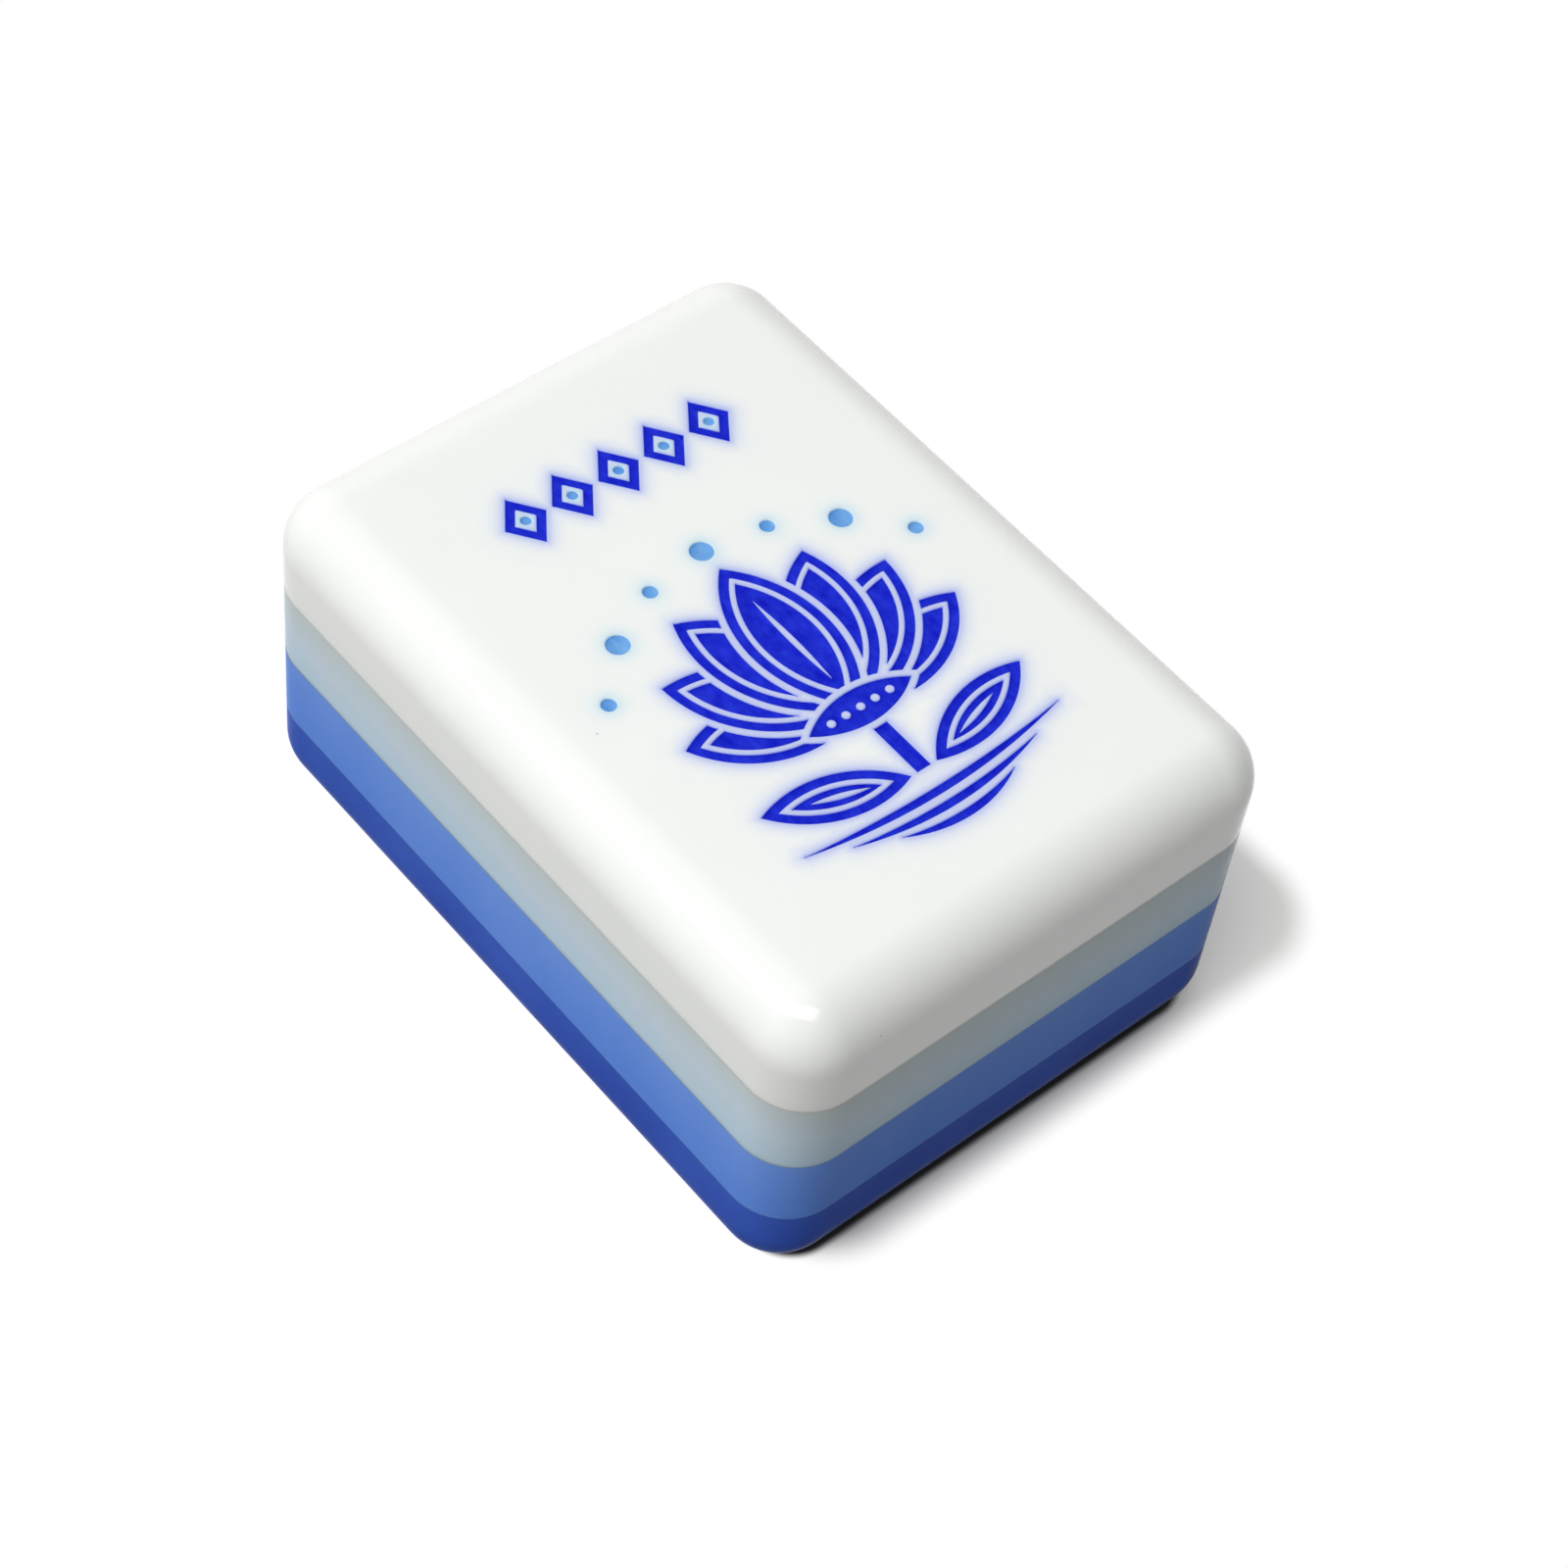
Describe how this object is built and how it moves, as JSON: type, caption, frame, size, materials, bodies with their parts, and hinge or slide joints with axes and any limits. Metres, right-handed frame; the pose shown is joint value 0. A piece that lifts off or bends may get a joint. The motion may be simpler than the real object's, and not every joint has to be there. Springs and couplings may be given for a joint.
{
  "type": "mahjong tile",
  "caption": "Rectangular game tile with rounded edges, laminated from white, translucent, light blue and deep blue plastic sheets, its face engraved and filled with blue paint.",
  "frame": {"origin": "centre of the flat back, which lies on the table", "axes": "+Z out of the engraved face, +Y along the tile's length towards the top of the motif, +X across its width to the reader's right"},
  "size_m": [0.022, 0.03, 0.0148],
  "materials": {
    "white_plastic": "polished, opaque, faintly translucent at its edges",
    "clear_plastic": "polished, translucent pale grey",
    "light_blue_plastic": "polished, opaque",
    "deep_blue_plastic": "polished, opaque",
    "glue": "clear film",
    "royal_paint": "dried enamel, satin",
    "sky_paint": "dried enamel, satin"
  },
  "bodies": {
    "root": {"face_slab": "white_plastic", "clear_slab": "clear_plastic", "blue_slab": "light_blue_plastic", "back_slab": "deep_blue_plastic", "face_glue": "glue", "middle_glue": "glue", "back_glue": "glue", "front_petal": "royal_paint", "inner_petals": "royal_paint", "middle_petals": "royal_paint", "outer_petals": "royal_paint", "flower_cup": "royal_paint", "flower_stem": "royal_paint", "leaf_pair": "royal_paint", "ripples": "royal_paint", "lozenge_frames": "royal_paint", "sky_dots": "sky_paint", "lozenge_dots": "sky_paint"}
  },
  "joints": []
}
